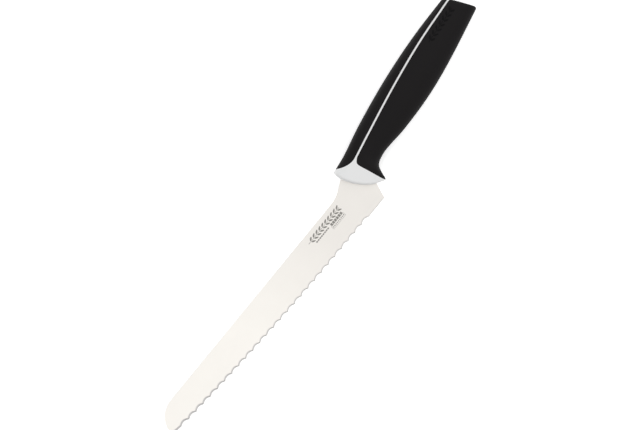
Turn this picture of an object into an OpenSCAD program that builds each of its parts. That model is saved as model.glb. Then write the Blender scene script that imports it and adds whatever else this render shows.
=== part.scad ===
// Bread knife with a serrated blade and a soft two-part handle.
// The knife lies on its side. The blade's middle plane is Z = 0 and its back runs along the X axis.
// The origin is where the back line meets the collar: the point is towards -X, the butt towards +X,
// the cutting edge towards -Y, and +Z is the side that carries the serration's ground hollows.

/* [Blade] */
// Length of the blade from the collar to the point
blade_l = 200; // [150:1:250]
// Width of the blade at the heel, from the back to the cutting edge
blade_w = 24; // [21:0.1:30]
// Thickness of the steel as stamped, at the neck and the tang
steel_t = 1.8; // [1.5:0.1:2.4]
// Thickness of the ground blade along its back
back_t = 1.5; // [1.2:0.05:1.5]
// Thickness of the ground blade at its widest edge, before the serration
edge_t = 0.5; // [0.35:0.05:0.9]
// How far in front of the collar the side grinding starts
grind_start = 10; // [4:0.5:14]
// Radius of the cutting edge's long curve
edge_r = 2100; // [1600:10:4000]
// How far in front of the collar the cutting edge starts to curve
edge_curve_start = 19; // [0:1:60]
// Radius that drops the back to the point
point_r = 16.5; // [14:0.5:20]
// Angle between the plain edge at the point and the back
point_edge_angle = 9; // [6:1:20]
// Length of the heel behind the collar's front
heel_x = 6.7; // [4:0.1:9]
// Lean of the heel's rear edge
heel_lean = 22; // [10:1:30]
// How far in front of the collar the neck starts to rise
neck_x = 14; // [10:0.5:20]
// Angle of the neck's rise into the collar
neck_angle = 26; // [15:1:30]
// Radius between the back and the neck
neck_r = 22; // [10:1:30]

/* [Serration] */
// Distance from one tooth to the next
tooth_pitch = 6.75; // [4:0.05:9]
// Depth of a scallop
scallop_depth = 1.25; // [0.8:0.05:1.5]
// Angle between the ground hollows and the side of the blade
bevel_angle = 30; // [25:1:45]
// How far in front of the collar the first scallop starts
serration_start = 9.7; // [5:0.1:30]
// How much nearer to the back the last tooth stands than the edge's curve
last_tooth_lift = 0.5; // [0:0.1:1.5]
// Least length of plain edge left at the point
point_plain = 7; // [5:0.5:12]

/* [Tang] */
// Reach of the tang behind the collar's front
tang_l = 102; // [60:1:108]
// Width of the tang
tang_w = 11; // [8:0.5:13]
// Angle of the tang to the blade's back
tang_angle = 8; // [6:0.5:10]
// Holes that the handle's plastic flows through
tang_holes = 3; // [2:1:4]
// Diameter of a tang hole
tang_hole_d = 5; // [3:0.5:6]

/* [Handle] */
// Length of the handle's back from the collar to the butt
handle_l = 131; // [125:1:165]
// Height of the handle's back over the blade's back at the collar
collar_rise = 12.1; // [11:0.1:14]
// Height of the handle's back at the middle of its length
middle_rise = 24.4; // [23:0.1:28]
// Height of the handle's back at the butt
butt_rise = 28.9; // [27:0.1:33]
// Depth of the guard below the blade's back
guard_drop = 17.4; // [14:0.1:20]
// Depth of the finger groove's floor below the blade's back
groove_drop = 5.15; // [4:0.1:7]
// Depth of the palm swell below the blade's back
palm_drop = 5.8; // [5:0.1:9]
// Height of the butt's lower corner over the blade's back
butt_low = 7.9; // [5:0.1:12]
// Slant of the butt's end face
butt_slant = 24.5; // [0:0.5:27]
// Thickness of the handle at the collar
collar_t = 16.4; // [14:0.2:20]
// Thickness of the handle at the palm swell
palm_t = 20.4; // [17:0.2:24]
// Thickness of the handle at the butt
butt_t = 17.6; // [15:0.2:22]
// Fullness of the handle's cross section, where 2 is an ellipse
fullness = 2.35; // [2:0.05:3]
// Radius of the collar's front edge
nose_r = 1.8; // [0.8:0.1:2.5]
// Radius of the butt's rim
rim_r = 2; // [1:0.1:2.2]

/* [Soft grips] */
// Depth of the soft grips on the core
grip_t = 2.4; // [1.5:0.1:3]
// Width of the core's rib that shows between the grips
rib_w = 1.2; // [0.8:0.05:2.5]
// Height of the rib over the blade's back where the grips part behind the collar
rib_front = 6.2; // [5:0.1:8]
// Height of the rib at the middle of the handle
rib_middle = 17.2; // [16:0.1:19]
// Height of the rib at the butt
rib_butt = 25.4; // [22:0.1:26]
// How far behind the collar's front line the back grip starts at the rib
back_grip_start = 13.5; // [12.5:0.1:18]
// How far behind the collar's front line the belly grip starts
belly_grip_start = 12.2; // [11:0.1:14]

/* [Hidden] */

steel_colour = [0.90, 0.89, 0.87];
core_colour = [0.88, 0.88, 0.88];
grip_colour = [0.13, 0.125, 0.13];

// A smooth curve through points [position, height], with its value at any position
function slope(p, i) =
    let (a = max(i - 1, 0), b = min(i + 1, len(p) - 1))
    (p[b].y - p[a].y) / (p[b].x - p[a].x);
function curve(p, x, i = 0) =
    x <= p[0].x ? p[0].y + slope(p, 0) * (x - p[0].x) :
    i < len(p) - 2 && x > p[i + 1].x ? curve(p, x, i + 1) :
    let (w = p[i + 1].x - p[i].x, t = (x - p[i].x) / w)
    (2 * t ^ 3 - 3 * t ^ 2 + 1) * p[i].y + (t ^ 3 - 2 * t ^ 2 + t) * w * slope(p, i)
    + (3 * t ^ 2 - 2 * t ^ 3) * p[i + 1].y + (t ^ 3 - t ^ 2) * w * slope(p, i + 1);

slack = 1;                                  // how far a cutter reaches past what it cuts
land = 0.04;                                // how far rounded corners stay off the lines that they join
cut_tilt = 90 - bevel_angle;                // lean of the serration wheel's axis
scallops = floor((blade_l - serration_start - point_plain) / tooth_pitch);

// Height of the cutting edge at x: straight at the heel, then a long curve
function edge_y(x) =
    let (run = max(0, -x - edge_curve_start)) edge_r - sqrt(edge_r ^ 2 - run ^ 2) - blade_w;
// Half of the ground thickness at height y
function half_t(y) = (back_t + (edge_t - back_t) * -y / blade_w) / 2;

tooth = [for (i = [0:scallops])
    let (x = -serration_start - i * tooth_pitch) [x, edge_y(x) + (i == scallops ? last_tooth_lift : 0)]];
last_tooth = tooth[scallops];
point = [-blade_l, last_tooth.y + tan(point_edge_angle) * (blade_l + last_tooth.x)];
point_centre_x = -blade_l + sqrt(point_r ^ 2 - (point.y + point_r) ^ 2);

// Where the neck and the heel run into the collar, and where they end inside it
neck_reach = neck_r * tan(neck_angle / 2);
neck_top = [-neck_x + neck_reach * cos(neck_angle), neck_reach * sin(neck_angle)];
neck_end_x = 3;                             // how far inside the collar the neck's rise ends
neck_end = [neck_end_x, (neck_end_x + neck_x) * tan(neck_angle)];
heel_depth = 12;                            // how far below the back line the heel's rear edge ends
heel_end = [heel_x + (blade_w - heel_depth) * tan(heel_lean), -heel_depth];
tang_start = [8, 1.4];                      // where the tang leaves the neck
tang_run = tang_l - tang_w / 2 - tang_start.x;

// A place on the tang: u along it, v across it
function on_tang(u, v) =
    tang_start + [u * cos(tang_angle) - v * sin(tang_angle), u * sin(tang_angle) + v * cos(tang_angle)];

module tang_hole_places() {
    for (i = [1:tang_holes])
        translate(on_tang(tang_run * i / tang_holes, 0)) children();
}

module blade_outline() {
    difference() {
        polygon(concat([[point_centre_x - point_r - slack, 0], [-neck_x - neck_reach, 0]],
                       [neck_top, neck_end, [tang_start.x, neck_end.y], on_tang(0, tang_w / 2)],
                       [on_tang(tang_run + tang_w, tang_w / 2), on_tang(tang_run + tang_w, -tang_w / 2)],
                       [on_tang(0, -tang_w / 2),
                        heel_end, [heel_x, -blade_w]],
                       tooth, [[point.x - slack, point.y + slack * tan(point_edge_angle)]]));
        // The hollow curve between the back and the neck
        translate([-neck_x - neck_reach, neck_r]) circle(r = neck_r - land, $fn = 200);
        // The back's drop to the point
        difference() {
            translate([point_centre_x - 2 * point_r, -2 * point_r])
                square([2 * point_r, 2 * point_r + slack]);
            translate([point_centre_x, -point_r]) circle(r = point_r, $fn = 200);
        }
        // The tang's round end
        translate(on_tang(tang_run, 0)) rotate(tang_angle) difference() {
            translate([0, -tang_w]) square(2 * tang_w);
            circle(r = tang_w / 2 + land, $fn = 64);
        }
    }
}

// What side grinding takes off the upper side. It reaches over the back and past the cutting edge.
module side_grind() {
    translate([-grind_start, 0, 0]) rotate([90, 0, -90]) linear_extrude(blade_l + point_r)
        polygon([[-3 * slack, half_t(3 * slack)], [blade_w + slack, half_t(-blade_w - slack)],
                 [blade_w + slack, steel_t], [-3 * slack, steel_t]]);
}

tooth_set = 0.08;                           // how far hollows are set in, so that they meet in sharp teeth
wheel_h = 12 * steel_t;                     // width of the serration wheel

// One hollow, ground with a wheel whose axis leans over the blade, from one tooth's point to the next
module scallop(a, b) {
    chord = norm(b - a);
    sag = scallop_depth * cos(cut_tilt);
    wheel_r = (sag ^ 2 + chord ^ 2 / 4) / (2 * sag);
    middle = (a + b) / 2;
    translate([middle.x, middle.y, -half_t(middle.y)])
        rotate(atan2((a - b).y, (a - b).x))
            translate([0, tooth_set + scallop_depth - wheel_r / cos(cut_tilt), 0]) rotate([-cut_tilt, 0, 0])
                cylinder(r = wheel_r, h = wheel_h, center = true, $fn = 200);
}

// The flat bevel of the plain edge at the point
module point_bevel() {
    run = blade_l + last_tooth.x;
    translate([last_tooth.x, last_tooth.y, -half_t(point.y)]) rotate(180 - point_edge_angle)
        translate([-run / 4, 0, 0]) rotate([cut_tilt, 0, 0]) translate([0, -tooth_set, -wheel_h / 2])
            cube([2 * run, wheel_h / 2, wheel_h]);
}

module blade() {
    color(steel_colour) difference() {
        translate([0, 0, -steel_t / 2]) linear_extrude(steel_t) blade_outline();
        side_grind();
        mirror([0, 0, 1]) side_grind();
        for (i = [0:scallops - 1])
            scallop(tooth[i], tooth[i + 1]);
        point_bevel();
        tang_hole_places() cylinder(d = tang_hole_d, h = 2 * steel_t, center = true, $fn = 48);
    }
}

// The handle has one outer form, which the core and the two grips share
guard_x = 16.2;                             // front of the guard's tip
groove_x = 31.5;                            // deepest place of the finger groove
butt_low_x = handle_l + (butt_rise - butt_low) * tan(butt_slant);
back_span = middle_rise - collar_rise;
guard_depth = guard_drop - groove_drop;

back_line = [[-1, collar_rise - 0.1], [10, collar_rise + 1.4],
             [handle_l / 4, collar_rise + 0.545 * back_span], [handle_l / 2, middle_rise],
             [handle_l * 0.75, middle_rise + 0.75 * (butt_rise - middle_rise)],
             [handle_l, butt_rise], [handle_l + 10, butt_rise]];
// The guard's rear: a distance behind its tip, and the share of its depth that is left there
guard_rear = [[0, 1], [0.8, 0.91], [1.4, 0.735], [2.2, 0.575], [2.8, 0.44], [4.3, 0.245], [7.3, 0.1]];
belly_line = [for (g = guard_rear) [guard_x + g[0], -groove_drop - g[1] * guard_depth],
              [groove_x, -groove_drop], [handle_l * 0.375, -palm_drop],
              [handle_l * 0.58, 0.1 * butt_low - 0.9 * palm_drop],
              [handle_l * 0.77, 0.375 * butt_low - 0.625 * palm_drop], [butt_low_x, butt_low]];
thickness_line = [[-3, collar_t], [groove_x - 6, collar_t + 0.2 * (palm_t - collar_t)],
                  [handle_l * 0.55, palm_t], [butt_low_x, butt_t]];
rib_line = [[-3, rib_front - 3.1], [12, rib_front],
            [handle_l / 4, rib_front + 0.405 * (rib_middle - rib_front)], [handle_l / 2, rib_middle],
            [handle_l * 0.75, rib_middle + 0.63 * (rib_butt - rib_middle)], [handle_l, rib_butt]];
// The collar's front, as X at each height Y from the guard to the back
nose_line = [[-guard_drop, guard_x - 0.7], [-0.895 * guard_drop, 12.7], [-0.7 * guard_drop, 7.9],
             [-0.47 * guard_drop, 4.4], [-2, 0.6], [4, -1.7], [collar_rise - 3.5, -2.4],
             [collar_rise - 0.1, -1.9]];
// Where the back grip starts, by its share of the way from the rib to the back
function back_grip_front(s) = 0.6 + (back_grip_start - 0.6) * (1 - s ^ 0.6);
// Where the belly grip starts, by its share of the way from the rib to the belly
belly_grip_front = [[0, belly_grip_start + 3], [0.06, belly_grip_start + 0.25], [0.18, belly_grip_start],
                    [0.5, belly_grip_start + 1.35], [0.9, belly_grip_start + 3.1], [1, guard_x + 0.1]];

function back_y(x) = curve(back_line, x);
function belly_y(x) = x < guard_x ? -guard_drop : curve(belly_line, x);
// The widest place of the section, nearer to the back as in an egg
crown_share = 0.65;
function crown_y(x) = belly_y(x) + crown_share * (back_y(x) - belly_y(x));
function butt_x(y) = handle_l + (butt_rise - y) * tan(butt_slant);

// A point of the section at x, at an angle from the back round over +Z, with the form drawn in by inset
function section(x, angle, inset) =
    let (c = crown_y(x), u = abs(cos(angle)) ^ (2 / fullness), v = abs(sin(angle)) ^ (2 / fullness))
    [x, c + (cos(angle) > 0 ? back_y(x) - inset - c : belly_y(x) + inset - c) * u,
     sign(sin(angle)) * (curve(thickness_line, x) / 2 - inset) * v];
// The angle at which the section reaches height y
function angle_at(x, y, inset) =
    let (c = crown_y(x),
         share = y > c ? (y - c) / (back_y(x) - inset - c) : (c - y) / (c - belly_y(x) - inset),
         a = acos(min(1, share) ^ (fullness / 2)))
    y > c ? a : 180 - a;

// Each grip is a sheet of rows along the handle and columns round it. Columns run from the rib on one
// side over the back or the belly to the rib on the other side, and lie closer together near the rib.
half_columns = 10;
columns = 2 * half_columns;
length_rows = 36;
rim_rows = 3;
rows = length_rows + rim_rows + 1;
crowding = 1.5;
bed_r = 0.5;                                // rounding at the far end of the bed under a grip
face_row = 0.94;                            // share of the rim's width that the butt's last row takes

function rib_edge(x, on_back) = curve(rib_line, x) + (on_back ? 0.5 : -0.5) * rib_w;
function spread(k) = let (u = k / half_columns - 1) sign(-u) * (1 - (1 - abs(u)) ^ crowding);
function column_angle(x, k, inset, on_back) =
    let (a = angle_at(x, rib_edge(x, on_back), inset))
    on_back ? a * spread(k) : 180 + (180 - a) * spread(k);
// A column's share of the way from the rib to the back or the belly, near the collar
function column_share(k, on_back) =
    let (x = on_back ? 5 : guard_x, e = rib_edge(x, on_back),
         y = section(x, column_angle(x, k, 0, on_back), 0).y)
    on_back ? (y - e) / (back_y(x) - e) : (e - y) / (e - belly_y(x));
function grip_front(k, on_back) =
    let (s = max(0, column_share(k, on_back)))
    on_back ? back_grip_front(s) : curve(belly_grip_front, s);

function sheet_point(j, k, inset, on_back) =
    let (cap = inset == 0 ? rim_r : grip_t, turn = 90 * max(0, j - length_rows) / rim_rows,
         drawn = inset + (inset == 0 ? rim_r : bed_r) * (1 - cos(turn)),
         near = section(handle_l, column_angle(handle_l, k, inset, on_back), inset),
         end_x = butt_x(near.y) - cap, front = grip_front(k, on_back),
         x = front + (end_x - front) * min(1, j / length_rows) ^ crowding,
         p = section(x, column_angle(x, k, drawn, on_back), drawn),
         out = inset == 0 ? rim_r * sin(turn) : 0)
    j < length_rows ? p :
    j < rows ? [butt_x(p.y) - cap + out, p.y, p.z] :
    // The last row crosses the butt's face along the rib
    let (a = sheet_point(rows - 1, 0, inset, on_back)) [a.x, a.y, face_row * a.z * (1 - k / half_columns)];

function sheet(inset, on_back) =
    [for (j = [0:rows], k = [0:columns]) sheet_point(j, k, inset, on_back)];

back_sheet = sheet(0, true);
back_bed = sheet(grip_t, true);
belly_sheet = sheet(0, false);
belly_bed = sheet(grip_t, false);
sheet_size = len(back_sheet);

function flip(faces) = [for (f = faces) [f[2], f[1], f[0]]];
function quad(a, b, c, d) = [[a, b, c], [a, c, d]];
function at(j, k) = j * (columns + 1) + k;
// The faces of one sheet, outwards, with its first point numbered from `first`. The halves mirror each other.
function sheet_faces(first) =
    [for (j = [0:rows - 1], k = [0:columns - 1])
        let (a = first + at(j, k), b = first + at(j, k + 1),
             c = first + at(j + 1, k + 1), d = first + at(j + 1, k))
            each k < half_columns ? quad(b, c, d, a) : quad(a, b, c, d)];
// The sheet's edge, once round
sheet_rim = concat([for (k = [0:columns]) at(0, k)], [for (j = [1:rows]) at(j, columns)],
                   [for (k = [columns - 1:-1:0]) at(rows, k)], [for (j = [rows - 1:-1:1]) at(j, 0)]);
// The walls between the edges of an outer sheet and of the bed under it
function wall_faces(outer, bed) =
    [for (i = [0:len(sheet_rim) - 1])
        let (a = sheet_rim[i], b = sheet_rim[(i + 1) % len(sheet_rim)])
            each quad(outer + b, outer + a, bed + a, bed + b)];

module grip(outer, bed) {
    polyhedron(points = concat(outer, bed), convexity = 8,
               faces = concat(sheet_faces(0), flip(sheet_faces(sheet_size)), wall_faces(0, sheet_size)));
}

module back_grip() {
    color(grip_colour) grip(back_sheet, back_bed);
}

module belly_grip() {
    color(grip_colour) grip(belly_sheet, belly_bed);
}

// The collar goes on from the grips' front edges to its nose, in rings of one point for each column
nose_rows = 4;
face_rows = 4;
collar_rows = nose_rows + face_rows;
ring = 2 * (columns + 1);
function ring_column(i) = i % (columns + 1);
function ring_on_back(i) = i <= columns;

// Height Y where a column reaches the collar's front
function nose_y(i) =
    let (s = column_share(ring_column(i), ring_on_back(i)), e = rib_front - 3)
    ring_on_back(i) ? e + (collar_rise - 0.1 - e) * s : e - (e + guard_drop) * s;
function ring_half(i) = sign(half_columns - ring_column(i)) * (ring_on_back(i) ? 1 : -1);
function form_z(x, y) = abs(section(x, angle_at(x, y, 0), 0).z);
function collar_point(m, i) =
    let (y = nose_y(i), x = curve(nose_line, y),
         f = (ring_on_back(i) ? back_sheet : belly_sheet)[ring_column(i)],
         reach = min(nose_r, 0.4 * (f.x - x)), top = form_z(x + reach, y), drop = min(nose_r, top / 2),
         turn = 90 * min(1, m / nose_rows), t = max(0, m - nose_rows) / face_rows,
         px = x + reach + (f.x - x - reach) * t, py = y + (f.y - y) * t)
    m <= nose_rows ? [x + reach * (1 - cos(turn)), y, ring_half(i) * (top - drop * (1 - sin(turn)))] :
    [px, py, ring_half(i) * form_z(px, py)];
collar = [for (m = [0:collar_rows - 1], i = [0:ring - 1]) collar_point(m, i)];

// Numbering of the core's points: the collar, then each outer sheet and its bed
first_back = len(collar);
first_belly = first_back + 2 * sheet_size;
function ring_at(m, i) =
    let (n = i % ring)
    m < collar_rows ? m * ring + n : (ring_on_back(n) ? first_back : first_belly) + ring_column(n);

module core_form() {
    collar_faces = [for (m = [0:collar_rows - 1], i = [0:ring - 1])
        each quad(ring_at(m, i), ring_at(m, i + 1), ring_at(m + 1, i + 1), ring_at(m + 1, i))];
    // The flat front, between the upper and the lower half of the first ring
    front_faces = [for (side = [0, columns + 1], k = [0:half_columns - 1])
        each quad(side + k + 1, side + k, side + columns - k, side + columns - k - 1)];
    front_rib = quad(0, 2 * columns + 1, columns + 1, columns);
    // The rib between the two grips, along both sides and across the butt
    rib_sides = [for (j = [0:rows - 1])
        each concat(quad(first_back + at(j, 0), first_back + at(j + 1, 0), first_belly + at(j + 1, columns),
                         first_belly + at(j, columns)),
                    quad(first_back + at(j + 1, columns), first_back + at(j, columns), first_belly + at(j, 0),
                         first_belly + at(j + 1, 0)))];
    rib_end = [for (k = [0:columns - 1])
        each quad(first_back + at(rows, k), first_back + at(rows, k + 1),
                  first_belly + at(rows, columns - k - 1), first_belly + at(rows, columns - k))];
    beds = concat(sheet_faces(first_back + sheet_size), sheet_faces(first_belly + sheet_size));
    walls = concat(flip(wall_faces(first_back, first_back + sheet_size)),
                   flip(wall_faces(first_belly, first_belly + sheet_size)));
    polyhedron(points = concat(collar, back_sheet, back_bed, belly_sheet, belly_bed), convexity = 8,
               faces = concat(collar_faces, front_faces, front_rib, rib_sides, rib_end, beds, walls));
}

// The plastic core, moulded round the neck and the tang and through the tang's holes
module handle_core() {
    color(core_colour) difference() {
        core_form();
        translate([0, 0, -steel_t / 2]) linear_extrude(steel_t) blade_outline();
    }
    color(core_colour) tang_hole_places() cylinder(d = tang_hole_d, h = steel_t, center = true, $fn = 48);
}

blade();
handle_core();
back_grip();
belly_grip();
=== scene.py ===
import math
import bmesh
import bpy
from mathutils import Matrix, Vector


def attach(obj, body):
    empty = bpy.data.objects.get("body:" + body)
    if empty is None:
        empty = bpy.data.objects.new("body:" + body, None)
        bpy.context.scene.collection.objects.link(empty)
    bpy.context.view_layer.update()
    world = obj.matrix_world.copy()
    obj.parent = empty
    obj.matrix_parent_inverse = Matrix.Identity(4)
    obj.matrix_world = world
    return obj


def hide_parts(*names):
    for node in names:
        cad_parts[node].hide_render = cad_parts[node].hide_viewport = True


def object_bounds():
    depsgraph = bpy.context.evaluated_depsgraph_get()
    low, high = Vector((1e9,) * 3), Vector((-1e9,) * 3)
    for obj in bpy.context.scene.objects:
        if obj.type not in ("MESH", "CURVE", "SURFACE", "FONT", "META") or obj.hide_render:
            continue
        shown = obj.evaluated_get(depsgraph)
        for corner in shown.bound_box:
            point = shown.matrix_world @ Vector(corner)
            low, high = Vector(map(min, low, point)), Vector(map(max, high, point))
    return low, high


# Bread knife: a serrated steel blade, a white core that shows as collar and rib, and two black soft grips.
# The knife's sizes are in millimetres, as in the part's source. Its meshes and the stage are in metres.

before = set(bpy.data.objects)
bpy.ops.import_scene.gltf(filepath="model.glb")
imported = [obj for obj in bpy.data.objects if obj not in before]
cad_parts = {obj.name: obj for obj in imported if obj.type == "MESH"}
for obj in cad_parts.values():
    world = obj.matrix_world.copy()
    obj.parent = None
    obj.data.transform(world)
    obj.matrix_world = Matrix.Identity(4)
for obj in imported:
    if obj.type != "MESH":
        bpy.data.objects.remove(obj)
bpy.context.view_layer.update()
mm = 0.001
noWidth = 1e-4                                     # millimetres


def curveThrough(points):
    # A smooth curve through (position, height) points, as a function of the position
    def slope(i):
        a, b = max(i - 1, 0), min(i + 1, len(points) - 1)
        return (points[b][1] - points[a][1]) / (points[b][0] - points[a][0])

    def height(x):
        if x <= points[0][0]:
            return points[0][1] + slope(0) * (x - points[0][0])
        i = 0
        while i < len(points) - 2 and x > points[i + 1][0]:
            i += 1
        w = points[i + 1][0] - points[i][0]
        t = (x - points[i][0]) / w
        return ((2 * t**3 - 3 * t**2 + 1) * points[i][1] + (t**3 - 2 * t**2 + t) * w * slope(i)
                + (3 * t**2 - 2 * t**3) * points[i + 1][1] + (t**3 - t**2) * w * slope(i + 1))

    return height


def mix(a, b, t):
    return a + (b - a) * t


def tanOf(degrees):
    return math.tan(math.radians(degrees))


def addSheet(bm, alongCount, acrossCount, place):
    # A grid of faces whose points are put where place(along, across) says, both from 0 to 1
    made = bmesh.ops.create_grid(bm, x_segments=alongCount, y_segments=acrossCount, size=0.5)
    for vert in made["verts"]:
        along = round((vert.co.x + 0.5) * alongCount) / alongCount
        across = round((vert.co.y + 0.5) * acrossCount) / acrossCount
        vert.co = Vector(place(along, across)) * mm


def finishPiece(bm, name, material, nodes=(), sharpAngle=30, weld=1e-6):
    # Closes and smooths a mesh, and puts it in the frame
    bmesh.ops.remove_doubles(bm, verts=bm.verts, dist=weld)
    bmesh.ops.dissolve_degenerate(bm, edges=bm.edges, dist=weld / 10)
    bmesh.ops.recalc_face_normals(bm, faces=bm.faces)
    for face in bm.faces:
        face.smooth = True
    for edge in bm.edges:
        edge.smooth = len(edge.link_faces) == 2 and edge.calc_face_angle(0) < math.radians(sharpAngle)
    openEdges = sum(1 for edge in bm.edges if len(edge.link_faces) != 2)
    mesh = bpy.data.meshes.new(name)
    bm.to_mesh(mesh)
    bm.free()
    mesh.materials.append(material)
    piece = bpy.data.objects.new(name, mesh)
    bpy.context.scene.collection.objects.link(piece)
    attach(piece, "root")
    if nodes:
        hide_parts(*nodes)
    print("made", name, "with", len(mesh.polygons), "faces and", openEdges, "open edges")


def newGroup(name, inputs, outputs):
    group = bpy.data.node_groups.new(name, "ShaderNodeTree")
    for label, kind, value in inputs:
        socket = group.interface.new_socket(name=label, in_out="INPUT", socket_type=kind)
        socket.default_value = value
    for label, kind in outputs:
        group.interface.new_socket(name=label, in_out="OUTPUT", socket_type=kind)
    return group, group.nodes.new("NodeGroupInput"), group.nodes.new("NodeGroupOutput")


def addNode(tree, kind, settings=None, **values):
    node = tree.nodes.new(kind)
    for key, value in (settings or {}).items():
        setattr(node, key, value)
    for key, value in values.items():
        node.inputs[key].default_value = value
    return node


def grainGroup():
    # Fine uneven grain, stretched along an axis by its scale, for colour, roughness and bump
    group, start, end = newGroup(
        "surfaceGrain",
        [("Stretch", "NodeSocketVector", (1, 1, 1)), ("Size", "NodeSocketFloat", 1000.0),
         ("Low", "NodeSocketFloat", 0.0), ("High", "NodeSocketFloat", 1.0)],
        [("Value", "NodeSocketFloat"), ("Height", "NodeSocketFloat")])
    links = group.links
    where = addNode(group, "ShaderNodeTexCoord")
    stretch = addNode(group, "ShaderNodeVectorMath", {"operation": "MULTIPLY"})
    noise = addNode(group, "ShaderNodeTexNoise", Detail=4.0, Roughness=0.6)
    spread = addNode(group, "ShaderNodeMapRange")
    links.new(where.outputs["Object"], stretch.inputs[0])
    links.new(start.outputs["Stretch"], stretch.inputs[1])
    links.new(stretch.outputs[0], noise.inputs["Vector"])
    links.new(start.outputs["Size"], noise.inputs["Scale"])
    links.new(noise.outputs["Fac"], spread.inputs["Value"])
    links.new(start.outputs["Low"], spread.inputs["To Min"])
    links.new(start.outputs["High"], spread.inputs["To Max"])
    links.new(spread.outputs[0], end.inputs["Value"])
    links.new(noise.outputs["Fac"], end.inputs["Height"])
    return group


def wearGroup():
    # Where edges are rubbed: bright on convex edges, broken up by noise
    group, start, end = newGroup(
        "edgeWear",
        [("Base", "NodeSocketColor", (0.5, 0.5, 0.5, 1)), ("Worn", "NodeSocketColor", (1, 1, 1, 1)),
         ("Amount", "NodeSocketFloat", 0.3)],
        [("Color", "NodeSocketColor")])
    links = group.links
    shape = addNode(group, "ShaderNodeNewGeometry")
    where = addNode(group, "ShaderNodeTexCoord")
    edges = addNode(group, "ShaderNodeMapRange", **{"From Min": 0.52, "From Max": 0.62})
    patches = addNode(group, "ShaderNodeTexNoise", Scale=180.0, Detail=3.0)
    both = addNode(group, "ShaderNodeMath", {"operation": "MULTIPLY"})
    scaled = addNode(group, "ShaderNodeMath", {"operation": "MULTIPLY"})
    blend = addNode(group, "ShaderNodeMix", {"data_type": "RGBA"})
    links.new(shape.outputs["Pointiness"], edges.inputs["Value"])
    links.new(where.outputs["Object"], patches.inputs["Vector"])
    links.new(edges.outputs[0], both.inputs[0])
    links.new(patches.outputs["Fac"], both.inputs[1])
    links.new(both.outputs[0], scaled.inputs[0])
    links.new(start.outputs["Amount"], scaled.inputs[1])
    links.new(scaled.outputs[0], blend.inputs["Factor"])
    links.new(start.outputs["Base"], blend.inputs[6])
    links.new(start.outputs["Worn"], blend.inputs[7])
    links.new(blend.outputs[2], end.inputs["Color"])
    return group


def newMaterial(name, **values):
    material = bpy.data.materials.new(name)
    material.use_nodes = True
    shader = material.node_tree.nodes["Principled BSDF"]
    for key, value in values.items():
        shader.inputs[key].default_value = value
    return material, material.node_tree, shader


def useGroup(tree, group, **values):
    node = tree.nodes.new("ShaderNodeGroup")
    node.node_tree = group
    for key, value in values.items():
        node.inputs[key].default_value = value
    return node


def addBump(tree, shader, height, strength, distance):
    bump = addNode(tree, "ShaderNodeBump", Strength=strength, Distance=distance)
    tree.links.new(height, bump.inputs["Height"])
    tree.links.new(bump.outputs["Normal"], shader.inputs["Normal"])


surfaceGrain = grainGroup()
edgeWear = wearGroup()

steelLook = {
    # painted light: the steel's colour is painted brighter from the neck towards the point
    "steelWithLightAtNeck": (0.835, 0.805, 0.765, 1), "steelWithLightAtPoint": (0.957, 0.927, 0.877, 1), "cloudy": 0.93,
    # painted light on the ground hollows: lighter near the neck, darker towards the point
    "hollowWithLightAtNeck": (0.95, 0.935, 0.90, 1), "hollowWithLightAtPoint": (0.80, 0.79, 0.775, 1),
    "paintedLightFadeStart": -0.01, "paintedLightFadeEnd": -0.13, "hollowPaintedLightFadeStart": 0.0, "hollowPaintedLightFadeEnd": -0.2,
    "roughLow": 0.26, "roughHigh": 0.36,
    "flatFacing": 0.98, "hollowFacing": 0.92,      # how squarely a face looks up where each tone is full
}


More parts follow.
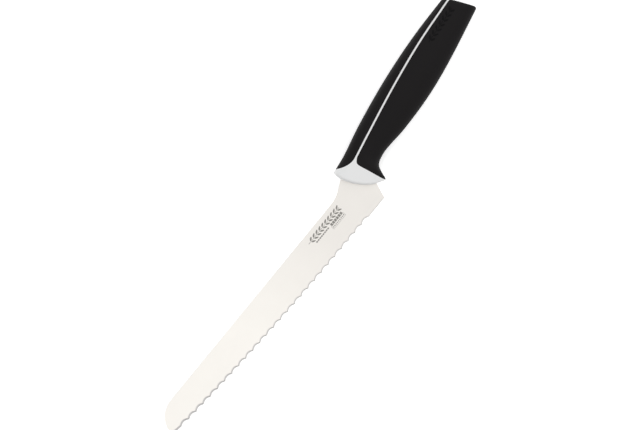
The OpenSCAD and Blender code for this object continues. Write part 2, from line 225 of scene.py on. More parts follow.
def steelMaterial():
    # Ground stainless steel: fine lines across the blade, a faint cloudiness and painted light, a tone
    # that is painted brighter towards the point
    material, tree, shader = newMaterial("groundSteel", Metallic=1.0)
    lines = useGroup(tree, surfaceGrain, Stretch=(1, 0.02, 1), Size=5200.0,
                     Low=steelLook["roughLow"], High=steelLook["roughHigh"])
    clouds = useGroup(tree, surfaceGrain, Size=38.0, Low=steelLook["cloudy"], High=1.0)
    where = addNode(tree, "ShaderNodeTexCoord")
    parts = addNode(tree, "ShaderNodeSeparateXYZ")
    # Painted light along the blade: the steel is painted brighter from the neck towards the point
    paintedLightFade = addNode(tree, "ShaderNodeMapRange", {"interpolation_type": "SMOOTHSTEP"},
                   **{"From Min": steelLook["paintedLightFadeStart"], "From Max": steelLook["paintedLightFadeEnd"]})
    steelWithLight = addNode(tree, "ShaderNodeMix", {"data_type": "RGBA"})
    steelWithLight.inputs[6].default_value = steelLook["steelWithLightAtNeck"]
    steelWithLight.inputs[7].default_value = steelLook["steelWithLightAtPoint"]
    # The ground hollows carry painted light of their own, a painted highlight near the neck and painted
    # shade towards the point, and are told by how far their faces lean from +Z
    hollowPaintedLightFade = addNode(tree, "ShaderNodeMapRange",
                         **{"From Min": steelLook["hollowPaintedLightFadeStart"], "From Max": steelLook["hollowPaintedLightFadeEnd"]})
    hollow = addNode(tree, "ShaderNodeMix", {"data_type": "RGBA"})
    hollow.inputs[6].default_value = steelLook["hollowWithLightAtNeck"]
    hollow.inputs[7].default_value = steelLook["hollowWithLightAtPoint"]
    facing = addNode(tree, "ShaderNodeSeparateXYZ")
    leaning = addNode(tree, "ShaderNodeMapRange",
                      **{"From Min": steelLook["flatFacing"], "From Max": steelLook["hollowFacing"]})
    pick = addNode(tree, "ShaderNodeMix", {"data_type": "RGBA"})
    shaded = addNode(tree, "ShaderNodeVectorMath", {"operation": "SCALE"})
    tree.links.new(where.outputs["Object"], parts.inputs[0])
    tree.links.new(parts.outputs["X"], paintedLightFade.inputs["Value"])
    tree.links.new(parts.outputs["X"], hollowPaintedLightFade.inputs["Value"])
    tree.links.new(paintedLightFade.outputs[0], steelWithLight.inputs["Factor"])
    tree.links.new(hollowPaintedLightFade.outputs[0], hollow.inputs["Factor"])
    tree.links.new(where.outputs["Normal"], facing.inputs[0])
    tree.links.new(facing.outputs["Z"], leaning.inputs["Value"])
    tree.links.new(leaning.outputs[0], pick.inputs["Factor"])
    tree.links.new(steelWithLight.outputs[2], pick.inputs[6])
    tree.links.new(hollow.outputs[2], pick.inputs[7])
    tree.links.new(pick.outputs[2], shaded.inputs[0])
    tree.links.new(clouds.outputs["Value"], shaded.inputs["Scale"])
    tree.links.new(shaded.outputs[0], shader.inputs["Base Color"])
    tree.links.new(lines.outputs["Value"], shader.inputs["Roughness"])
    addBump(tree, shader, lines.outputs["Height"], 0.12, 0.00002)
    return material


def markMaterial():
    # The grey frosted surface that etching leaves on steel
    material, tree, shader = newMaterial("etchedGrey", Metallic=0.55)
    grain = useGroup(tree, surfaceGrain, Size=2600.0, Low=0.5, High=0.7)
    shade = addNode(tree, "ShaderNodeMix", {"data_type": "RGBA"})
    shade.inputs[6].default_value = (0.20, 0.193, 0.178, 1)
    shade.inputs[7].default_value = (0.35, 0.338, 0.315, 1)
    tree.links.new(grain.outputs["Height"], shade.inputs["Factor"])
    tree.links.new(shade.outputs[2], shader.inputs["Base Color"])
    tree.links.new(grain.outputs["Value"], shader.inputs["Roughness"])
    addBump(tree, shader, grain.outputs["Height"], 0.3, 0.00002)
    return material


def coreMaterial():
    # White hard plastic with a satin skin
    material, tree, shader = newMaterial("whiteCore", **{"Specular IOR Level": 0.45})
    grain = useGroup(tree, surfaceGrain, Size=900.0, Low=0.34, High=0.44)
    wear = useGroup(tree, edgeWear, Base=(0.785, 0.787, 0.787, 1), Worn=(0.82, 0.82, 0.82, 1), Amount=0.4)
    tree.links.new(wear.outputs["Color"], shader.inputs["Base Color"])
    tree.links.new(grain.outputs["Value"], shader.inputs["Roughness"])
    addBump(tree, shader, grain.outputs["Height"], 0.08, 0.00002)
    return material


def gripMaterial():
    # Black soft plastic with a fine eroded texture
    material, tree, shader = newMaterial("blackGrip", **{"Specular IOR Level": 0.13})
    grain = useGroup(tree, surfaceGrain, Size=2400.0, Low=0.58, High=0.72)
    wear = useGroup(tree, edgeWear, Base=(0.0083, 0.0073, 0.0077, 1),
                    Worn=(0.014, 0.0135, 0.0145, 1), Amount=0.8)
    tree.links.new(wear.outputs["Color"], shader.inputs["Base Color"])
    tree.links.new(grain.outputs["Value"], shader.inputs["Roughness"])
    addBump(tree, shader, grain.outputs["Height"], 0.35, 0.00003)
    return material


def mouldedMaterial():
    # The smoother and darker skin of the mark that is moulded on the grip
    material, tree, shader = newMaterial("mouldedGrip", **{"Specular IOR Level": 0.07})
    grain = useGroup(tree, surfaceGrain, Size=2400.0, Low=0.4, High=0.5)
    wear = useGroup(tree, edgeWear, Base=(0.0038, 0.0035, 0.0040, 1),
                    Worn=(0.007, 0.007, 0.0075, 1), Amount=0.5)
    tree.links.new(wear.outputs["Color"], shader.inputs["Base Color"])
    tree.links.new(grain.outputs["Value"], shader.inputs["Roughness"])
    addBump(tree, shader, grain.outputs["Height"], 0.15, 0.00003)
    return material


steel = steelMaterial()
etched = markMaterial()
whiteCore = coreMaterial()
blackGrip = gripMaterial()
mouldedGrip = mouldedMaterial()
print("materials made")


blade = {
    "length": 199.98, "width": 24, "stamped": 1.8, "back": 1.5, "edge": 0.5,
    "grindStart": 10, "grindRun": 22, "edgeRadius": 2100, "edgeCurveStart": 19,
    "pointRadius": 16.5, "pointAngle": 9, "heel": 6.7, "heelLean": 22, "heelTop": 12,
    "neck": 14, "neckAngle": 26, "neckRadius": 22, "neckEnd": 3,
    "pitch": 6.75, "scallopDepth": 1.25, "bevelAngle": 30,
    "firstTooth": 9.7, "lastToothLift": 0.5, "plain": 7,
    "tangLength": 102, "tangWidth": 11, "tangAngle": 8, "tangStart": (8, 1.4),
    "edgeBreak": 0.14, "heelBevel": 0.5, "apex": 0.03,
    "overHeel": -3,                                # where on the back the cuts over the heel reach
    "endCuts": 8, "tangCuts": 10, "heelCuts": 8, "frontCuts": 10, "toothCuts": 12, "pointCuts": 14,
    "sideRows": 8,
}


def edgeHeight(x):
    run = max(0, -x - blade["edgeCurveStart"])
    return blade["edgeRadius"] - math.sqrt(blade["edgeRadius"]**2 - run**2) - blade["width"]


def halfThickness(x, y):
    # Stamped thickness behind the grind line, and a slow taper towards the edge in front of it
    ground = (blade["back"] + (blade["edge"] - blade["back"]) * -y / blade["width"]) / 2
    t = min(1, max(0, (x + blade["grindStart"]) / blade["grindRun"]))
    return mix(ground, blade["stamped"] / 2, t * t * (3 - 2 * t))


scallopCount = math.floor((blade["length"] - blade["firstTooth"] - blade["plain"]) / blade["pitch"])
toothPlaces = [-blade["firstTooth"] - i * blade["pitch"] for i in range(scallopCount + 1)]
teeth = [Vector((x, edgeHeight(x))) for x in toothPlaces]
teeth[-1].y += blade["lastToothLift"]
pointY = teeth[-1].y + tanOf(blade["pointAngle"]) * (blade["length"] + teeth[-1].x)
pointCentre = -blade["length"] + math.sqrt(blade["pointRadius"]**2 - (pointY + blade["pointRadius"])**2)
neckReach = blade["neckRadius"] * tanOf(blade["neckAngle"] / 2)


def backHeight(x):
    # The upper outline: the neck's rise, the hollow in front of it, the straight back and its drop
    if x > -blade["neck"] + neckReach * math.cos(math.radians(blade["neckAngle"])):
        return (x + blade["neck"]) * tanOf(blade["neckAngle"])
    if x > -blade["neck"] - neckReach:
        return blade["neckRadius"] - math.sqrt(blade["neckRadius"]**2 - (x + blade["neck"] + neckReach)**2)
    if x > pointCentre:
        return 0
    return math.sqrt(max(0, blade["pointRadius"]**2 - (x - pointCentre)**2)) - blade["pointRadius"]


def onTang(along, across):
    turn = Matrix.Rotation(math.radians(blade["tangAngle"]), 2)
    return Vector(blade["tangStart"]) + turn @ Vector((along, across))


def scallopPoint(a, b, t):
    # A point of one scallop between the teeth a and b: the wheel's circle, stretched by its lean
    lean = math.cos(math.radians(90 - blade["bevelAngle"]))
    chord = (b - a).length
    sag = blade["scallopDepth"] * lean
    radius = (sag**2 + chord**2 / 4) / (2 * sag)
    rise = math.sqrt(radius**2 - ((t - 0.5) * chord)**2) - (radius - sag)
    along = (b - a) / chord
    return a + (b - a) * t + Vector((along.y, -along.x)) * rise / lean


def sharesTo(count):
    # Even shares of a run, without its start and with its end
    return [i / count for i in range(1, count + 1)]


def bladeCuts():
    # Cuts across the steel from the tang's end to the point: low end, high end, and the kind of edge
    # at the low end
    half = blade["tangWidth"] / 2
    run = blade["tangLength"] - half - blade["tangStart"][0]
    cuts = []
    for i in range(blade["endCuts"] + 1):
        a = math.pi / 2 * i / blade["endCuts"]
        along = run + half * math.cos(a)
        cuts.append((onTang(along, -half * math.sin(a)), onTang(along, half * math.sin(a)), "stamped"))
    for t in sharesTo(blade["tangCuts"]):
        cuts.append((onTang(run * (1 - t), -half), onTang(run * (1 - t), half), "stamped"))
    heelTopX = blade["heel"] + blade["heelTop"] * tanOf(blade["heelLean"])
    heelTop = Vector((heelTopX, blade["heelTop"] - blade["width"]))
    heelEnd = Vector((blade["heel"], -blade["width"]))
    neckEnd = Vector((blade["neckEnd"], backHeight(blade["neckEnd"])))
    cuts.append((heelTop, Vector((blade["tangStart"][0], neckEnd.y)), "stamped"))
    for t in [0] + sharesTo(blade["heelCuts"]):
        x = mix(neckEnd.x, blade["overHeel"], t)
        cuts.append((heelTop.lerp(heelEnd, t), Vector((x, backHeight(x))), "stamped"))
    for t in sharesTo(blade["frontCuts"]):
        x = mix(blade["overHeel"], teeth[0].x, t)
        cuts.append((heelEnd.lerp(teeth[0], t), Vector((x, backHeight(x))), "plain"))
    for a, b in zip(teeth, teeth[1:]):
        for t in sharesTo(blade["toothCuts"]):
            low = scallopPoint(a, b, t)
            cuts.append((low, Vector((low.x, backHeight(low.x))), "ground"))
    tip = Vector((-blade["length"], pointY))
    for share in sharesTo(blade["pointCuts"]):
        low = teeth[-1].lerp(tip, 1 - (1 - share)**2)
        cuts.append((low, Vector((low.x, backHeight(low.x))), "ground"))
    return cuts


def edgeShape(kind, thick):
    # Width of the slope at the cut's low end, and how high over the flat side it ends
    slope = tanOf(blade["bevelAngle"])
    if kind == "ground":
        return (2 * thick - blade["apex"]) / slope, blade["apex"]
    if kind == "plain":
        return blade["heelBevel"], 2 * thick - blade["heelBevel"] * slope
    return blade["edgeBreak"], 2 * thick - blade["edgeBreak"]


def buildBlade():
    bm = bmesh.new()
    cuts = bladeCuts()
    inner = sharesTo(blade["sideRows"] + 1)[:-1]

    def place(along, across):
        low, high, kind = cuts[round(along * (len(cuts) - 1))]
        width = (high - low).length
        bevel, apex = edgeShape(kind, halfThickness(low.x, low.y))
        if width < noWidth:
            apex = 0                               # both ends close in one upright line
        bevel = min(bevel, width / 2)
        rounded = min(blade["edgeBreak"], width / 4)
        # Once round the cut: the bevelled side, over the back, and the flat side
        steps = [(0, -1, apex), (bevel, 1, 0)]
        steps += [(mix(bevel, width - rounded, t), 1, 0) for t in inner]
        steps += [(width - rounded, 1, 0), (width, 1, -rounded)]
        steps += [(width, -1, rounded), (width - rounded, -1, 0)]
        steps += [(mix(bevel, width - rounded, t), -1, 0) for t in reversed(inner)]
        steps += [(bevel, -1, 0), (0, -1, 0), (0, -1, apex)]
        offset, side, shift = steps[round(across * (len(steps) - 1))]
        spot = low.lerp(high, offset / width) if width > 0 else low
        half = halfThickness(spot.x, spot.y)
        return spot.x, spot.y, side * half + shift

    addSheet(bm, len(cuts) - 1, 2 * len(inner) + 8, place)
    finishPiece(bm, "serratedBlade", steel, ["blade"], sharpAngle=16)


buildBlade()


# The etched mark on the blade: an ear of grain with rows of bars and dots
mark = {
    "earX": (-46.5, -18), "earY": -5.2, "stem": 0.26, "kernels": 10, "kernelLength": 3.0, "kernelWidth": 1.15,
    "kernelOut": 1.2, "lean": 30, "blockX": (-29.4, -18.4), "blockY": (-9.5, -7.7), "blocks": 6, "gap": 0.35,
    "boxX": (-30, -17.9), "boxY": (-11.7, -9.5), "line": 0.16, "dots": 9,
    "dashX": (-44, -31.5), "dashY": (-8.9, -8.0), "dashes": 8,
    "stemPast": (1.5, 1), "firstKernel": 2, "dotInset": 0.6, "dotHeight": 0.8, "dotGap": 0.6,
    "sideInset": (0.2, 0.05), "proud": 0.006, "sunk": 0.02,
}


def addBar(bm, xs, ys):
    made = bmesh.ops.create_grid(bm, x_segments=1, y_segments=1, size=0.5)["verts"]
    bmesh.ops.scale(bm, verts=made, vec=(xs[1] - xs[0], ys[1] - ys[0], 1))
    bmesh.ops.translate(bm, verts=made, vec=((xs[0] + xs[1]) / 2, (ys[0] + ys[1]) / 2, 0))


def addKernel(bm, x, y, length, width, lean):
    # A grain, pointed a little towards +X
    made = bmesh.ops.create_circle(bm, cap_ends=True, segments=20, radius=0.5)["verts"]
    for vert in made:
        vert.co.y *= 1 - 0.5 * max(0, vert.co.x)
    bmesh.ops.scale(bm, verts=made, vec=(length, width, 1))
    bmesh.ops.rotate(bm, verts=made, matrix=Matrix.Rotation(math.radians(lean), 3, "Z"))
    bmesh.ops.translate(bm, verts=made, vec=(x, y, 0))


def addRow(bm, xs, ys, count, gap):
    step = (xs[1] - xs[0] + gap) / count
    for i in range(count):
        addBar(bm, (xs[0] + i * step, xs[0] + (i + 1) * step - gap), ys)


def thicken(bm, surface, proud, sunk):
    # Lays flat shapes on a surface and gives them a little depth into it
    top = list(bm.verts)
    made = bmesh.ops.extrude_face_region(bm, geom=list(bm.faces))["geom"]
    for vert in top:
        vert.co.z = surface(vert.co.x, vert.co.y) - sunk
    for vert in made:
        if isinstance(vert, bmesh.types.BMVert):
            vert.co.z = surface(vert.co.x, vert.co.y) + proud
    bmesh.ops.scale(bm, verts=bm.verts, vec=(mm, mm, mm))


def buildMark():
    bm = bmesh.new()
    m = mark
    before, after = m["stemPast"]
    stemY = (m["earY"] - m["stem"] / 2, m["earY"] + m["stem"] / 2)
    addBar(bm, (m["earX"][0] - before, m["earX"][1] + after), stemY)
    for i in range(m["kernels"]):
        x = mix(m["earX"][0] + m["firstKernel"], m["earX"][1], i / (m["kernels"] - 1))
        for side in (-1, 1):
            y = m["earY"] + side * m["kernelOut"]
            addKernel(bm, x, y, m["kernelLength"], m["kernelWidth"], side * m["lean"])
    addRow(bm, m["blockX"], m["blockY"], m["blocks"], m["gap"])
    addRow(bm, m["dashX"], m["dashY"], m["dashes"], m["gap"])
    middle = (m["boxY"][0] + m["boxY"][1]) / 2
    dotX = (m["boxX"][0] + m["dotInset"], m["boxX"][1] - m["dotInset"])
    addRow(bm, dotX, (middle - m["dotHeight"] / 2, middle + m["dotHeight"] / 2), m["dots"], m["dotGap"])
    for y in m["boxY"]:
        addBar(bm, m["boxX"], (y, y + m["line"]))
    for x in (m["boxX"][0], m["boxX"][1] - m["line"]):
        addBar(bm, (x, x + m["line"]), (m["boxY"][0] + m["sideInset"][0], m["boxY"][1] - m["sideInset"][1]))
    thicken(bm, halfThickness, m["proud"], m["sunk"])
    finishPiece(bm, "etchedMark", etched, weld=1e-8)


buildMark()


# The handle: one outer form that the core and the grips share
handle = {
    "length": 131, "collarRise": 12.1, "middleRise": 24.4, "buttRise": 28.9,
    "guardDrop": 17.4, "grooveDrop": 5.15, "palmDrop": 5.8, "buttLow": 7.9, "buttSlant": 24.5,
    "collarThick": 16.4, "palmThick": 20.36, "buttThick": 17.6,
    "fullness": 2.35, "crown": 0.65, "guardX": 16.2, "grooveX": 31.5, "noseRadius": 1.8, "rimRadius": 2,
    "gripDepth": 2.4, "ribWidth": 1.2, "ribFront": 6.2, "ribMiddle": 17.2, "ribButt": 25.4,
    "backGripStart": 13.5, "bellyGripStart": 12.2, "bedRadius": 0.5,
    "halfColumns": 22, "lengthRows": 90, "rimRows": 6, "faceRows": 4, "crowding": 1.25, "rowCrowding": 1.35,
    "ribSink": 0.13, "ribFade": 0.1, "lipRadius": 0.2, "lineShare": 0.94,
    "noseShare": 0.4, "collarStart": 5, "backGripTop": 0.6, "backGripBend": 0.6,
    "collarRows": 14, "noseRows": 6, "frontRows": 4, "ribColumns": 2,
}
h = handle
buttLowX = h["length"] + (h["buttRise"] - h["buttLow"]) * tanOf(h["buttSlant"])
backSpan = h["middleRise"] - h["collarRise"]
guardDepth = h["guardDrop"] - h["grooveDrop"]
ribSpan = h["ribMiddle"] - h["ribFront"]

backY = curveThrough([
    (-1, h["collarRise"] - 0.1), (10, h["collarRise"] + 1.4),
    (h["length"] / 4, h["collarRise"] + 0.545 * backSpan),
    (h["length"] / 2, h["middleRise"]), (h["length"] * 0.75, mix(h["middleRise"], h["buttRise"], 0.75)),
    (h["length"], h["buttRise"]), (h["length"] + 10, h["buttRise"])])
bellyCurve = curveThrough([
    (h["guardX"], -h["guardDrop"]), (h["guardX"] + 0.8, -h["grooveDrop"] - 0.91 * guardDepth),
    (h["guardX"] + 1.4, -h["grooveDrop"] - 0.735 * guardDepth),
    (h["guardX"] + 2.2, -h["grooveDrop"] - 0.575 * guardDepth),
    (h["guardX"] + 2.8, -h["grooveDrop"] - 0.44 * guardDepth),
    (h["guardX"] + 4.3, -h["grooveDrop"] - 0.245 * guardDepth),
    (h["guardX"] + 7.3, -h["grooveDrop"] - 0.1 * guardDepth), (h["grooveX"], -h["grooveDrop"]),
    (h["length"] * 0.375, -h["palmDrop"]), (h["length"] * 0.58, mix(-h["palmDrop"], h["buttLow"], 0.1)),
    (h["length"] * 0.77, mix(-h["palmDrop"], h["buttLow"], 0.375)),
    (buttLowX, h["buttLow"])])
thickness = curveThrough([
    (-3, h["collarThick"]), (h["grooveX"] - 6, mix(h["collarThick"], h["palmThick"], 0.2)),
    (h["length"] * 0.55, h["palmThick"]), (buttLowX, h["buttThick"])])
ribY = curveThrough([
    (-3, h["ribFront"] - 3.1), (12, h["ribFront"]), (h["length"] / 4, h["ribFront"] + 0.405 * ribSpan),
    (h["length"] / 2, h["ribMiddle"]), (h["length"] * 0.75, mix(h["ribMiddle"], h["ribButt"], 0.63)),
    (h["length"], h["ribButt"])])
noseX = curveThrough([
    (-h["guardDrop"], h["guardX"] - 0.7), (-0.895 * h["guardDrop"], 12.7), (-0.7 * h["guardDrop"], 7.9),
    (-0.47 * h["guardDrop"], 4.4), (-2, 0.6), (4, -1.7),
    (h["collarRise"] - 3.5, -2.4), (h["collarRise"] - 0.1, -1.9)])
bellyGripFront = curveThrough([
    (0, h["bellyGripStart"] + 3), (0.06, h["bellyGripStart"] + 0.25), (0.18, h["bellyGripStart"]),
    (0.5, h["bellyGripStart"] + 1.35), (0.9, h["bellyGripStart"] + 3.1), (1, h["guardX"] + 0.1)])


def bellyY(x):
    return -h["guardDrop"] if x < h["guardX"] else bellyCurve(x)


def crownY(x):
    return mix(bellyY(x), backY(x), h["crown"])


def buttX(y):
    return h["length"] + (h["buttRise"] - y) * tanOf(h["buttSlant"])


def section(x, angle, inset):
    # A point of the cross section at x; the angle runs from the back round over +Z
    crown = crownY(x)
    c, s = math.cos(angle), math.sin(angle)
    rise = abs(c)**(2 / h["fullness"])
    bulge = abs(s)**(2 / h["fullness"])
    y = crown + (backY(x) - inset - crown if c > 0 else bellyY(x) + inset - crown) * rise
    return x, y, math.copysign((thickness(x) / 2 - inset) * bulge, s)


def angleAt(x, y, inset):
    crown = crownY(x)
    above = y > crown
    share = (y - crown) / (backY(x) - inset - crown) if above else (crown - y) / (crown - bellyY(x) - inset)
    angle = math.acos(min(1, max(0, share))**(h["fullness"] / 2))
    return angle if above else math.pi - angle


def formZ(x, y):
    # How far the outer form stands out over the middle plane
    return abs(section(x, angleAt(x, y, 0), 0)[2])


def ribEdge(x, onBack):
    return ribY(x) + (0.5 if onBack else -0.5) * h["ribWidth"]


def columnAngle(x, across, inset, onBack):
    # Columns run from the rib on one side, over the back or the belly, to the rib on the other side
    u = 2 * across - 1
    spread = -math.copysign(1 - (1 - abs(u))**h["crowding"], u)
    angle = angleAt(x, ribEdge(x, onBack), inset)
    return angle * spread if onBack else math.pi + (math.pi - angle) * spread


def columnShare(across, onBack):
    # How far over the back or the belly a column is, from the rib's edge
    x = h["collarStart"] if onBack else h["guardX"]
    y = section(x, columnAngle(x, across, 0, onBack), 0)[1]
    edge = ribEdge(x, onBack)
    top = backY(x) if onBack else bellyY(x)
    return max(0, (y - edge) / (top - edge))


def gripFront(across, onBack):
    share = columnShare(across, onBack)
    if onBack:
        return mix(h["backGripTop"], h["backGripStart"], 1 - share**h["backGripBend"])
    return bellyGripFront(share)


sheetRows = h["lengthRows"] + h["rimRows"] + h["faceRows"]
sheetColumns = 2 * h["halfColumns"]


def gripPoint(along, across, inset, onBack):
    # A point of a grip's skin, or of the bed that lies inset under it
    row = along * sheetRows
    skin = inset == 0
    cap = h["rimRadius"] if skin else h["gripDepth"]
    turn = math.pi / 2 * min(1, max(0, row - h["lengthRows"]) / h["rimRows"])
    drawn = inset + (h["rimRadius"] if skin else h["bedRadius"]) * (1 - math.cos(turn))
    near = section(h["length"], columnAngle(h["length"], across, inset, onBack), inset)
    front = gripFront(across, onBack)
    x = front + (buttX(near[1]) - cap - front) * min(1, row / h["lengthRows"])**h["rowCrowding"]
    spot = section(x, columnAngle(x, across, drawn, onBack), drawn)
    if row <= h["lengthRows"]:
        return spot
    out = h["rimRadius"] * math.sin(turn) if skin else 0
    rim = Vector((buttX(spot[1]) - cap + out, spot[1], spot[2]))
    faceShare = max(0, row - h["lengthRows"] - h["rimRows"]) / h["faceRows"]
    if faceShare == 0:
        return rim
    # Across the butt's face, from its rim to the rib
    corner = gripPoint((h["lengthRows"] + h["rimRows"]) / sheetRows, 0, inset, onBack)
    reach = (1 if onBack else -1) * h["lineShare"] * abs(corner[2])
    line = Vector((corner[0], corner[1], reach * (1 - 2 * across)))
    return rim.lerp(line, faceShare)


def ribPoint(along, across, onBack):
    # The rib stands a little lower than the grips beside it, from just behind the collar on
    sink = h["ribSink"] / h["gripDepth"] * min(1, along / h["ribFade"])
    bed = Vector(gripPoint(along, across, h["gripDepth"], onBack))
    return Vector(gripPoint(along, across, 0, onBack)).lerp(bed, sink)


def buildGrip(name, node, onBack):
    bm = bmesh.new()
    addSheet(bm, sheetRows, sheetColumns, lambda a, b: gripPoint(a, b, 0, onBack))
    lip = [edge for edge in bm.edges if len(edge.link_faces) == 1]
    addSheet(bm, sheetRows, sheetColumns, lambda a, b: gripPoint(a, b, h["gripDepth"], onBack))
    rim = [edge for edge in bm.edges if len(edge.link_faces) == 1]
    bmesh.ops.bridge_loops(bm, edges=rim)
    bmesh.ops.remove_doubles(bm, verts=bm.verts, dist=1e-6)
    bmesh.ops.recalc_face_normals(bm, faces=bm.faces)
    lip = [edge for edge in lip if edge.is_valid]
    bmesh.ops.bevel(bm, geom=lip, offset=h["lipRadius"] * mm, segments=2, profile=0.5, affect="EDGES",
                    clamp_overlap=True)
    finishPiece(bm, name, blackGrip, [node], sharpAngle=50)


def collarPoint(roll, reachShare, across, onBack):
    # The collar from its front, round the nose by roll, and on to the grip's front edge by reachShare
    share = columnShare(across, onBack)
    start = h["ribFront"] - 3
    end = h["collarRise"] - 0.1 if onBack else -h["guardDrop"]
    y = start + (end - start) * share
    x = noseX(y)
    grip = gripPoint(0, across, 0, onBack)
    reach = min(h["noseRadius"], h["noseShare"] * (grip[0] - x))
    top = formZ(x + reach, y)
    drop = min(h["noseRadius"], top / 2)
    side = (1 if onBack else -1) * (0 if across == 0.5 else math.copysign(1, 0.5 - across))
    if reachShare == 0:
        turn = math.pi / 2 * roll
        return x + reach * (1 - math.cos(turn)), y, side * (top - drop * (1 - math.sin(turn)))
    nextX = mix(x + reach, grip[0], reachShare)
    nextY = mix(y, grip[1], reachShare)
    return nextX, nextY, side * formZ(nextX, nextY)


def buildCore():
    bm = bmesh.new()
    depth = h["gripDepth"]
    for onBack in (True, False):
        addSheet(bm, h["noseRows"], sheetColumns, lambda a, b: collarPoint(a, 0, b, onBack))
        addSheet(bm, h["collarRows"], sheetColumns, lambda a, b: collarPoint(1, a, b, onBack))
        # The flat front, from one side to the other
        addSheet(bm, h["halfColumns"], h["frontRows"],
                 lambda a, b: Vector(collarPoint(0, 0, a / 2, onBack)).lerp(
                     Vector(collarPoint(0, 0, 1 - a / 2, onBack)), b))
        # The bed under the grip and the walls round it
        addSheet(bm, sheetRows, sheetColumns, lambda a, b: gripPoint(a, b, depth, onBack))

        def wall(count, spot):
            addSheet(bm, count, 1, lambda a, b: ribPoint(*spot(a), onBack).lerp(
                Vector(gripPoint(*spot(a), depth, onBack)), b))

        wall(sheetColumns, lambda a: (0, a))
        wall(sheetColumns, lambda a: (1, a))
        wall(sheetRows, lambda a: (a, 0))
        wall(sheetRows, lambda a: (a, 1))
    # The rib along both sides and across the butt, and its front between the collar's halves
    for near in (0, 1):
        addSheet(bm, sheetRows, h["ribColumns"],
                 lambda a, b: ribPoint(a, near, True).lerp(ribPoint(a, 1 - near, False), b))
        addSheet(bm, h["collarRows"], h["ribColumns"],
                 lambda a, b: Vector(collarPoint(1, a, near, True)).lerp(
                     Vector(collarPoint(1, a, 1 - near, False)), b))
        addSheet(bm, h["noseRows"], h["ribColumns"],
                 lambda a, b: Vector(collarPoint(a, 0, near, True)).lerp(
                     Vector(collarPoint(a, 0, 1 - near, False)), b))
    addSheet(bm, sheetColumns, h["ribColumns"],
             lambda a, b: ribPoint(1, a, True).lerp(ribPoint(1, 1 - a, False), b))

    def frontLine(onBack, start, a):
        return Vector(collarPoint(0, 0, start, onBack)).lerp(Vector(collarPoint(0, 0, 1 - start, onBack)), a)

    addSheet(bm, h["frontRows"], h["ribColumns"],
             lambda a, b: frontLine(True, 0, a).lerp(frontLine(False, 1, a), b))
    finishPiece(bm, "handleCore", whiteCore, ["handle_core"], sharpAngle=40)


gripMark = {
    "startX": 104.5, "endX": 128, "below": 5.2, "kernels": 7, "length": 3.2, "width": 1.25,
    "out": 1.35, "lean": 32, "stem": 0.3, "stemParts": 24, "stemPast": (2, 1), "firstKernel": 1,
    "proud": 0.12, "sunk": 0.3,
}


def buildGripMark():
    # An ear of grain moulded on the belly grip along the rib
    bm = bmesh.new()
    g = gripMark
    before, after = g["stemPast"]
    middle = []
    for i in range(g["stemParts"] + 1):
        x = mix(g["startX"] - before, g["endX"] + after, i / g["stemParts"])
        middle.append((x, ribY(x) - g["below"]))
    for (x, y), (nextX, nextY) in zip(middle, middle[1:]):
        addBar(bm, (x, nextX), ((y + nextY - g["stem"]) / 2, (y + nextY + g["stem"]) / 2))
    for i in range(g["kernels"]):
        x = mix(g["startX"] + g["firstKernel"], g["endX"], i / (g["kernels"] - 1))
        slope = math.degrees(math.atan(ribY(x + 0.5) - ribY(x - 0.5)))
        for side in (-1, 1):
            y = ribY(x) - g["below"] + side * g["out"]
            addKernel(bm, x, y, g["length"], g["width"], slope + side * g["lean"])
    bmesh.ops.remove_doubles(bm, verts=bm.verts, dist=1e-5)
    thicken(bm, formZ, g["proud"], g["sunk"])
    finishPiece(bm, "gripMark", mouldedGrip, weld=1e-8)


buildGrip("backGrip", "back_grip", True)
buildGrip("bellyGrip", "belly_grip", False)
buildCore()
buildGripMark()


studio = {
    "zenith": 1.08, "horizon": 0.38, "towardsPoint": 0.72, "dimFrom": -0.1, "dimTo": -0.9,
    "softboxPlace": (1.9, 0.3, 1.9), "softboxSize": 1.4, "softboxPower": 18,
    "floorSize": 6,
    "floorLook": {"Base Color": (0.93, 0.93, 0.93, 1), "Roughness": 0.9, "Specular IOR Level": 0.0,
                  "Emission Color": (1, 1, 1, 1), "Emission Strength": 0.45},
}
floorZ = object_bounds()[0].z
view = {"lens": 200, "width": 0.41405, "centre": (-0.02933, 0.00194), "up": (0.7733, 0.63404, 0)}


def buildStage():
    # The floor that the knife lies on
    bm = bmesh.new()
    bmesh.ops.create_grid(bm, x_segments=1, y_segments=1, size=studio["floorSize"])
    bmesh.ops.translate(bm, verts=bm.verts, vec=(0, 0, floorZ))
    mesh = bpy.data.meshes.new("floor")
    bm.to_mesh(mesh)
    bm.free()
    mesh.materials.append(newMaterial("paleFloor", **studio["floorLook"])[0])
    floor = bpy.data.objects.new("floor", mesh)
    bpy.context.scene.collection.objects.link(floor)


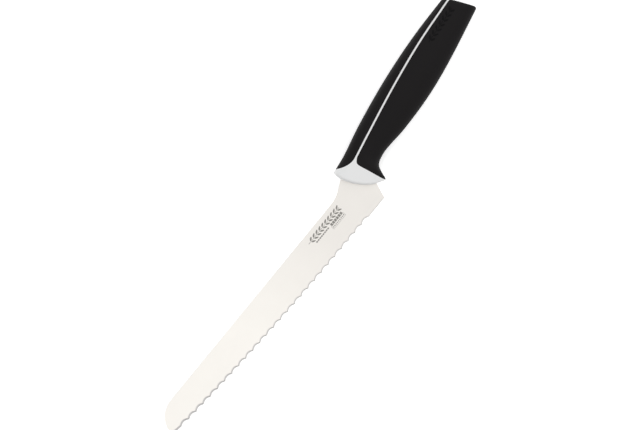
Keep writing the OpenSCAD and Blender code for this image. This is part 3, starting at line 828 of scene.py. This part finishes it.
def addArea(name, place, size, power):
    light = bpy.data.lights.new(name, "AREA")
    light.shape = "SQUARE"
    light.size = size
    light.energy = power
    lamp = bpy.data.objects.new(name, light)
    bpy.context.scene.collection.objects.link(lamp)
    lamp.location = place
    lamp.rotation_mode = "QUATERNION"
    lamp.rotation_quaternion = (-Vector(place)).to_track_quat("-Z", "Y")


def buildCamera():
    data = bpy.data.cameras.new("camera")
    data.lens = view["lens"]
    data.clip_end = 100
    distance = view["width"] * view["lens"] / data.sensor_width
    camera = bpy.data.objects.new("camera", data)
    bpy.context.scene.collection.objects.link(camera)
    up = Vector(view["up"]).normalized()
    right = up.cross(Vector((0, 0, 1)))
    turn = Matrix((right, up, (0, 0, 1))).transposed().to_4x4()
    camera.matrix_world = Matrix.Translation((*view["centre"], distance)) @ turn
    bpy.context.scene.camera = camera


def buildWorld():
    # A white dome, dimmer low down and towards the knife's point
    world = bpy.data.worlds.new("studio")
    world.use_nodes = True
    tree = world.node_tree
    where = addNode(tree, "ShaderNodeTexCoord")
    parts = addNode(tree, "ShaderNodeSeparateXYZ")
    rise = addNode(tree, "ShaderNodeMapRange", **{"To Min": studio["horizon"], "To Max": studio["zenith"]})
    front = addNode(tree, "ShaderNodeMapRange", **{"From Min": studio["dimTo"], "From Max": studio["dimFrom"],
                                                   "To Min": studio["towardsPoint"], "To Max": 1.0})
    both = addNode(tree, "ShaderNodeMath", {"operation": "MULTIPLY"})
    background = tree.nodes["Background"]
    background.inputs["Color"].default_value = (1, 1, 1, 1)
    tree.links.new(where.outputs["Generated"], parts.inputs[0])
    tree.links.new(parts.outputs["Z"], rise.inputs["Value"])
    tree.links.new(parts.outputs["X"], front.inputs["Value"])
    tree.links.new(rise.outputs[0], both.inputs[0])
    tree.links.new(front.outputs[0], both.inputs[1])
    tree.links.new(both.outputs[0], background.inputs["Strength"])
    bpy.context.scene.world = world


buildWorld()
buildStage()
addArea("softbox", studio["softboxPlace"], studio["softboxSize"], studio["softboxPower"])
buildCamera()
bpy.context.scene.view_settings.view_transform = "Standard"
print("stage made")
